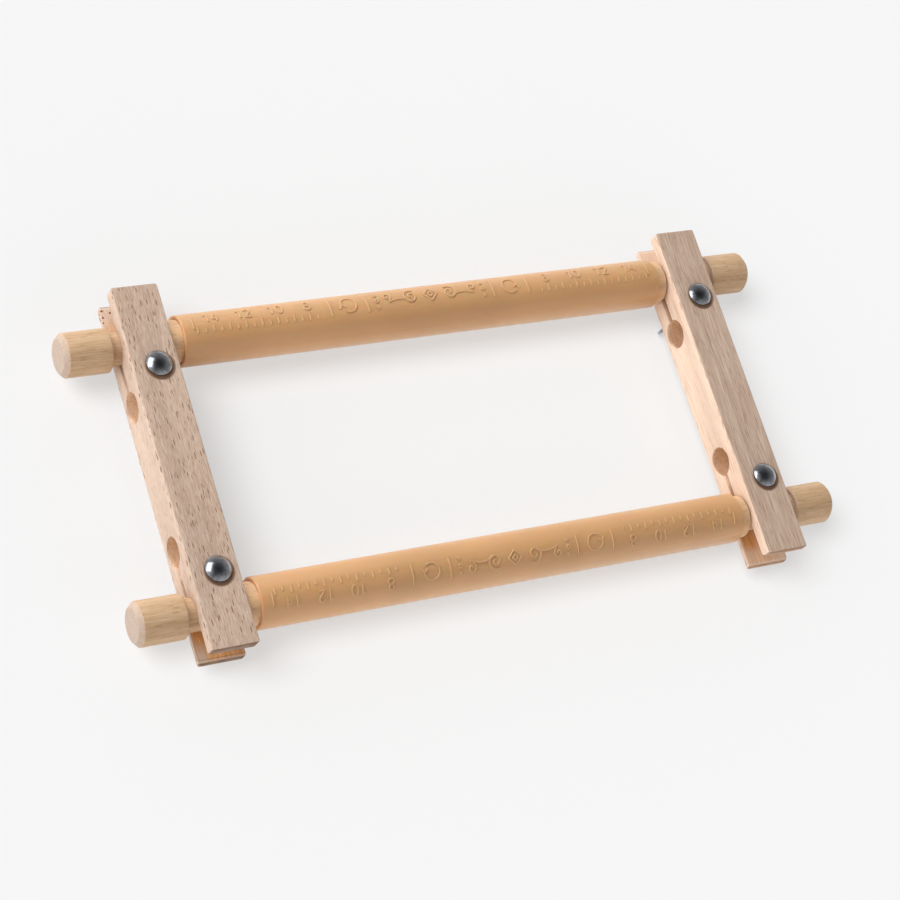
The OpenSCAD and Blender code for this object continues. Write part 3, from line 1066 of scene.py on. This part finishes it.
def floor_material():
    """Plain matt floor that looks evenly white and keeps a light shadow."""
    glow_strength, glow_share = 0.85, 0.56
    material, tree, shader = new_material("floor")[:3]
    set_inputs(shader, {"Base Color": colours().floor, "Roughness": 0.9,
                        "Specular IOR Level": 0.0})
    ray = outputs(tree.nodes.new("ShaderNodeLightPath"))
    seen = ray["Is Camera Ray"].maths("MAXIMUM", ray["Is Glossy Ray"])
    glow = output_of(tree, "ShaderNodeEmission", [(1.0, 1.0, 1.0), glow_strength])
    both = output_of(tree, "ShaderNodeMixShader",
                     [seen * glow_share, Value(shader.outputs[0]), glow])
    feed(tree.nodes["Material Output"].inputs[0], both)
    return material


def studio_world():
    """A dim ceiling, a brighter horizon and a wide window on the left, dimmer in metal."""
    world = bpy.data.worlds.new("studio")
    world.use_nodes = True
    tree = world.node_tree
    direction = outputs(tree.nodes.new("ShaderNodeTexCoord"))["Generated"]
    ceiling, horizon, window, front, lost_in_metal = 0.06, 1.05, 0.7, 0.5, 0.6
    level = 1.0 - parts(direction)[2].maths("MAXIMUM", 0.0)
    sky = level.maths("POWER", 1.1) * horizon + ceiling
    to_window = direction.measure("DOT_PRODUCT", (-0.94, 0.12, 0.32))
    to_front = direction.measure("DOT_PRODUCT", (0.1, -0.98, 0.18))
    lit = ramp(to_window, 0.62, 0.95) * window + ramp(to_front, 0.55, 0.95) * front
    mirrored_ray = outputs(tree.nodes.new("ShaderNodeLightPath"))["Is Glossy Ray"]
    strength = (sky + lit) * (1.0 - mirrored_ray * lost_in_metal)
    set_inputs(tree.nodes["Background"], {"Color": (1.0, 0.97, 0.94), "Strength": strength})
    return world


def level_strength(level_share, direction):
    """Strength at which a sun gives a level white surface that share of full white."""
    return level_share * math.pi / Vector(direction).normalized().z


def link_light(lamp, name, objects, state):
    """Keeps a lamp off some objects, or keeps it to them."""
    receivers = bpy.data.collections.new(name)
    for obj in objects:
        receivers.objects.link(obj)
    for member in receivers.collection_objects:
        member.light_linking.link_state = state
    lamp.light_linking.receiver_collection = receivers


def add_floor():
    """A wide floor just under the frame."""
    half = 6.0
    mesh = mesh_of("floor", [(-half, -half, 0), (half, -half, 0), (half, half, 0),
                             (-half, half, 0)], faces=[(0, 1, 2, 3)])
    mesh.materials.append(floor_material())
    floor = add_object("floor", mesh)
    floor.location.z = -0.02 * MM
    return floor


class CLIPFRAME_OT_stage(bpy.types.Operator):
    """Sets the camera, the lamps, the world and the floor"""
    bl_idname = "clipframe.stage"
    bl_label = "Stage"

    def execute(self, context):
        context.scene.view_settings.view_transform = "Standard"
        context.scene.world = studio_world()
        add_camera()
        floor = add_floor()
        bolts = bpy.data.objects["bolts_steel"]
        key = (-0.10, 0.84, 0.50)
        key_lamp = add_lamp("key", "SUN", key, angle=math.radians(6),
                            energy=level_strength(colours().key_share, key))
        link_light(key_lamp, "not lit by the key", [floor, bolts], "EXCLUDE")
        left = (-0.72, 0.42, 0.55)
        reach = 1.15
        watts = level_strength(colours().left_share, left) * math.pi * reach ** 2
        left_lamp = add_lamp("left", "AREA", left, reach, shape="RECTANGLE",
                             size=1.1, size_y=0.55, energy=watts)
        link_light(left_lamp, "not lit from the left", [floor], "EXCLUDE")
        above = (-0.60, 0.06, 0.79)
        floor_lamp = add_lamp("floor lamp", "SUN", above, angle=math.radians(29),
                              energy=level_strength(colours().floor_share, above))
        link_light(floor_lamp, "lit by the floor lamp", [floor], "INCLUDE")
        return {"FINISHED"}


class CLIPFRAME_PT_sidebar(bpy.types.Panel):
    """Lists the steps that dress the frame"""
    bl_idname = "CLIPFRAME_PT_sidebar"
    bl_label = "Clip Frame"
    bl_space_type = "VIEW_3D"
    bl_region_type = "UI"
    bl_category = "Clip Frame"

    def draw(self, context):
        for operator in OPERATORS:
            self.layout.operator(operator.bl_idname)
        for values in (sizes(), colours()):
            for name in values.bl_rna.properties.keys():
                if name not in ("rna_type", "name"):
                    self.layout.prop(values, name)


OPERATORS = (CLIPFRAME_OT_arms, CLIPFRAME_OT_rollers, CLIPFRAME_OT_clips, CLIPFRAME_OT_bolts,
             CLIPFRAME_OT_nuts, CLIPFRAME_OT_stage)
CLASSES = (ClipFrameSizes, ClipFrameColours, *OPERATORS, CLIPFRAME_PT_sidebar)


def register():
    for one in CLASSES:
        bpy.utils.register_class(one)
    bpy.types.Scene.clip_frame_sizes = bpy.props.PointerProperty(type=ClipFrameSizes)
    bpy.types.Scene.clip_frame_colours = bpy.props.PointerProperty(type=ClipFrameColours)


def unregister():
    del bpy.types.Scene.clip_frame_colours
    del bpy.types.Scene.clip_frame_sizes
    for one in reversed(CLASSES):
        bpy.utils.unregister_class(one)


def main():
    """Registers the add-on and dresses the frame."""
    register()
    for operator in OPERATORS:
        group_name, step = operator.bl_idname.split(".")
        getattr(getattr(bpy.ops, group_name), step)()


if __name__ == "__main__":
    main()
